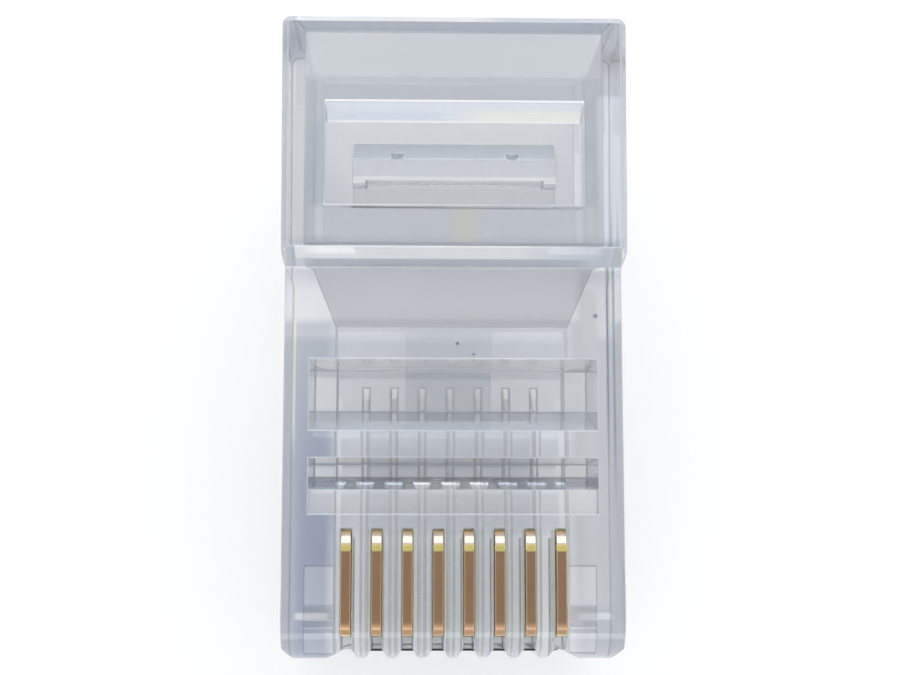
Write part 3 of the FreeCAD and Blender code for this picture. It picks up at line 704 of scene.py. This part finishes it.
def wedge_plastic(finish):
    """Frosted wedge, with painted shade where its rear falls away and a painted highlight on its
    front face.
    """
    material, tree, shader = new_material("wedge_polycarbonate")
    along = level_axes(tree)[1]
    # Painted shade behind the ridge, painted highlight on the front face.
    tint = mix_colour(tree, above(tree, along, WEDGE_RIDGE), finish.wedge_tint,
                      finish.wedge_rear_shade)
    tint = mix_colour(tree, below(tree, along, WEDGE_FRONT), tint, finish.highlight_and_frost_tint)
    tree.links.new(tint, shader.inputs["Base Color"])
    shader.inputs["IOR"].default_value = finish.refraction
    shader.inputs["Roughness"].default_value = finish.wedge_roughness
    shader.inputs["Transmission Weight"].default_value = finish.frosted_clarity
    return material


def edge_plastic(finish):
    """Moulded edges with painted highlights, a painted dark reflection along the blade slots, and
    darker outside the walls, where they take the outer tint.
    """
    material, tree, shader = new_material("whitened_polycarbonate")
    axes = level_axes(tree)
    # Painted shade at the foot of the shoulder, then painted highlights where the edges shine.
    tint = mix_colour(tree, area(tree, axes, *SHADED_EDGE), finish.edge_highlight_tint,
                      finish.shoulder_shade)
    for place in EDGE_HIGHLIGHT_AREAS:
        tint = mix_colour(tree, area(tree, axes, *place), tint, finish.highlight_and_frost_tint)
    tint = mix_colour(tree, area(tree, axes, *INSIDE_WALLS), finish.skin_tint, tint)
    # Painted reflection: dark green along the edges of the blade slots.
    tint = mix_colour(tree, area(tree, axes, *BLADE_SLOTS), tint, finish.slot_edge_reflection)
    tree.links.new(tint, shader.inputs["Base Color"])
    mould(tree, shader, finish, finish.frosted_clarity, handled_gloss(tree, finish))
    return material


def plated_metal(finish):
    """Thin gold over bronze: gold on the rounded head, with brown along the flat top as a painted
    dark reflection.
    """
    material, tree, shader = new_material("gold_plated_bronze")
    across, along, up = level_axes(tree)
    place = object_place(tree)
    plated_from = finish.plated_from / MM
    # Painted dark reflection: brown on the flat top ahead of the bright plating.
    tint = mix_colour(tree, above(tree, along, plated_from), finish.top_reflection_brown, finish.gold)
    # Painted highlight along the top edges of the blades.
    blade_highlight = multiply(tree, fade(tree, from_gap(tree, across), BLADE_HIGHLIGHT_REACH),
                      below(tree, along, BLADE_HIGHLIGHT_END))
    tint = mix_colour(tree, blade_highlight, tint, finish.blade_highlight_tint)
    tint = mix_colour(tree, above(tree, up, FRONT_HEIGHT + HEAD_HEIGHT), finish.plating, tint)
    polished = fade(tree, along, [plated_from + end for end in POLISHED_ROUND])
    tint = mix_colour(tree, polished, tint, finish.pale_gold)
    dull = fade(tree, along, DULL_END)
    tint = mix_colour(tree, dull, tint, finish.bare_end)
    tree.links.new(tint, shader.inputs["Base Color"])
    tree.links.new(spread(tree, dull, 1.0, finish.bare_metallic), shader.inputs["Metallic"])
    smooth, worn = (finish.roughness * share for share in WEAR_RANGE)
    tree.links.new(spread(tree, noise(tree, place, WEAR_SCALE), smooth, worn),
                   shader.inputs["Roughness"])
    drawn = tree.nodes.new("ShaderNodeMapping")
    drawn.inputs["Scale"].default_value = DRAWN_SCALE
    tree.links.new(place, drawn.inputs["Vector"])
    marks(tree, shader, noise(tree, drawn.outputs["Vector"], 1.0), DRAWN_STRENGTH, DRAWN_DEPTH)
    return material


def seen_share(tree, share):
    """Share for rays that look at a surface directly, in a reflection or through the plastic."""
    path = tree.nodes.new("ShaderNodeLightPath")
    looking = (path.outputs[kind]
               for kind in ("Is Camera Ray", "Is Glossy Ray", "Is Transmission Ray"))
    return multiply(tree, largest(tree, *looking), share)


def floor_material(studio):
    """Pale floor that is seen near white and still takes the plug's shadow."""
    material, tree, mixed = new_material("pale_floor", "ShaderNodeMixShader")
    diffuse = tree.nodes.new("ShaderNodeBsdfDiffuse")
    diffuse.inputs["Color"].default_value = (*studio.floor_colour, 1.0)
    white = tree.nodes.new("ShaderNodeEmission")
    white.inputs["Strength"].default_value = studio.floor_white
    tree.links.new(seen_share(tree, studio.floor_lift), mixed.inputs[0])
    tree.links.new(diffuse.outputs["BSDF"], mixed.inputs[1])
    tree.links.new(white.outputs["Emission"], mixed.inputs[2])
    return material


def add_floor(scene, studio):
    """Flat square floor under the plug."""
    half = studio.floor_width / 2
    mesh = bpy.data.meshes.new("floor")
    mesh.from_pydata([(-half, -half, 0), (half, -half, 0), (half, half, 0), (-half, half, 0)],
                     [], [(0, 1, 2, 3)])
    floor = bpy.data.objects.new("floor", mesh)
    floor.data.materials.append(floor_material(studio))
    scene.collection.objects.link(floor)


def add_room(scene, studio):
    """Even light from the room, weaker straight above."""
    world = bpy.data.worlds.new("room")
    world.use_nodes = True
    tree = world.node_tree
    background = tree.nodes["Background"]
    background.inputs["Color"].default_value = (*studio.room_colour, 1.0)
    split = tree.nodes.new("ShaderNodeSeparateXYZ")
    direction = tree.nodes.new("ShaderNodeTexCoord").outputs["Generated"]
    tree.links.new(direction, split.inputs["Vector"])
    overhead = ramp(tree, split.outputs["Z"], OVERHEAD_START, OVERHEAD_FULL)
    tree.links.new(spread(tree, overhead, studio.world_strength, studio.overhead),
                   background.inputs["Strength"])
    scene.world = world


def add_lamp(scene, name, size, place, colour, power):
    """Rectangular soft lamp aimed at the plug."""
    data = bpy.data.lights.new(name, "AREA")
    data.shape = "RECTANGLE"
    data.size, data.size_y = size
    data.energy = power
    data.color = colour
    made = bpy.data.objects.new(name, data)
    made.location = place
    made.rotation_euler = (Vector(LAMP_AIM) - Vector(place)).to_track_quat("-Z", "Y").to_euler()
    scene.collection.objects.link(made)


def add_camera(scene, studio):
    """Camera nearly above the plug."""
    data = bpy.data.cameras.new("camera")
    data.lens = studio.camera_lens
    data.clip_start = 1.0 * MM
    camera = bpy.data.objects.new("camera", data)
    turn = Euler(studio.camera_turn)
    backwards = turn.to_matrix() @ Vector((0.0, 0.0, 1.0))
    camera.location = Vector(studio.camera_aim) + backwards * studio.camera_distance
    camera.rotation_euler = turn
    scene.collection.objects.link(camera)
    scene.camera = camera


def dress(node, materials, radius, edge_slot=-1):
    """Give a node its finishes and its small rounded edges."""
    node.data.materials.clear()
    for material in materials:
        node.data.materials.append(material)
    joined = node.modifiers.new("joined_corners", "WELD")
    joined.merge_threshold = JOINED * MM
    flat = node.modifiers.new("flat_faces", "DECIMATE")
    flat.decimate_type = "DISSOLVE"
    flat.angle_limit = FLAT_ANGLE
    flat.delimit = {"MATERIAL"}
    rounded = node.modifiers.new("rounded_edges", "BEVEL")
    rounded.width = radius
    rounded.segments = EDGE_STEPS
    rounded.limit_method = "ANGLE"
    rounded.angle_limit = SHARP_ANGLE
    rounded.use_clamp_overlap = False
    rounded.material = edge_slot
    for polygon in node.data.polygons:
        polygon.use_smooth = False


def assign_finishes(mesh):
    """Give the housing's faces the slots of their finishes."""
    for polygon in mesh.polygons:
        place = level(polygon.center)
        for slot, *reaches in FINISHED_FACES:
            if all(low <= value < high
                   for value, (low, high) in zip((abs(place.x), place.y, place.z), reaches)):
                polygon.material_index = slot


class PLUG_OT_plastic(bpy.types.Operator):
    """Finish the housing and the latch lever in clear plastic"""
    bl_idname = "plug.plastic"
    bl_label = "Clear plastic"

    def execute(self, context):
        finish = context.scene.plug_plastic
        frosted = finish.frosted_clarity
        finishes = {
            CLEAR: clear_plastic(finish),
            MILKY: plain_plastic(finish, "milky_polycarbonate", finish.rib_tint,
                                 finish.milky_clarity),
            EDGES: edge_plastic(finish),
            # White frost: the funnel's own frost, a painted glint on the key pockets' ramps and
            # painted light on the latch ledge.
            FROSTED: plain_plastic(finish, "frosted_polycarbonate", finish.highlight_and_frost_tint, frosted,
                                   finish.funnel_roughness),
            WEDGE: wedge_plastic(finish),
            RELIEF: plain_plastic(finish, "relief_polycarbonate", finish.relief_tint,
                                  finish.relief_clarity),
            BAR: plain_plastic(finish, "bar_polycarbonate", finish.relief_slope, frosted),
        }
        housing = NODES["housing"]
        dress(housing, [finishes[slot] for slot in sorted(finishes)], finish.edge_radius, EDGES)
        assign_finishes(housing.data)
        lever = plain_plastic(finish, "lever_polycarbonate", finish.lever_tint,
                              finish.lever_clarity)
        dress(NODES["latch_lever"], [lever], finish.edge_radius)
        return {"FINISHED"}


class PLUG_OT_contacts(bpy.types.Operator):
    """Finish the contact blades in worn gold plating"""
    bl_idname = "plug.contacts"
    bl_label = "Contact blades"

    def execute(self, context):
        finish = context.scene.plug_contacts
        material = plated_metal(finish)
        for name in CONTACTS:
            dress(NODES[name], [material], finish.edge_radius)
        return {"FINISHED"}


class PLUG_OT_studio(bpy.types.Operator):
    """Set up the floor, the room light, the lamps and the camera"""
    bl_idname = "plug.studio"
    bl_label = "Studio"

    def execute(self, context):
        studio = context.scene.plug_studio
        scene = context.scene
        scene.view_settings.view_transform = "Standard"
        scene.cycles.max_bounces = studio.light_paths
        scene.cycles.transmission_bounces = studio.light_paths
        scene.cycles.diffuse_bounces = studio.scattered_paths
        add_floor(scene, studio)
        add_room(scene, studio)
        for name, size, place, colour in LAMPS:
            add_lamp(scene, name, size, place, colour, getattr(studio, name))
        add_camera(scene, studio)
        return {"FINISHED"}


class PLUG_PT_panel(bpy.types.Panel):
    """Sidebar panel that lists the steps and their settings"""
    bl_idname = "PLUG_PT_panel"
    bl_label = "Clear modular plug"
    bl_space_type = "VIEW_3D"
    bl_region_type = "UI"
    bl_category = "Plug"

    def draw(self, context):
        for operator, group in STEPS:
            box = self.layout.box()
            box.operator(operator)
            settings = getattr(context.scene, group)
            for name in settings.bl_rna.properties.keys():
                if name not in {"rna_type", "name"}:
                    box.prop(settings, name)


STEPS = (
    ("plug.plastic", "plug_plastic"),
    ("plug.contacts", "plug_contacts"),
    ("plug.studio", "plug_studio"),
)
GROUPS = (
    ("plug_plastic", PlasticFinish),
    ("plug_contacts", ContactFinish),
    ("plug_studio", StudioSettings),
)
OPERATORS = (PLUG_OT_plastic, PLUG_OT_contacts, PLUG_OT_studio)


def register():
    for name, group in GROUPS:
        bpy.utils.register_class(group)
        setattr(bpy.types.Scene, name, bpy.props.PointerProperty(type=group))
    for operator in OPERATORS:
        bpy.utils.register_class(operator)
    bpy.utils.register_class(PLUG_PT_panel)


def unregister():
    bpy.utils.unregister_class(PLUG_PT_panel)
    for operator in reversed(OPERATORS):
        bpy.utils.unregister_class(operator)
    for name, group in reversed(GROUPS):
        delattr(bpy.types.Scene, name)
        bpy.utils.unregister_class(group)


def main():
    register()
    bpy.ops.plug.plastic()
    bpy.ops.plug.contacts()
    bpy.ops.plug.studio()


if __name__ == "__main__":
    main()
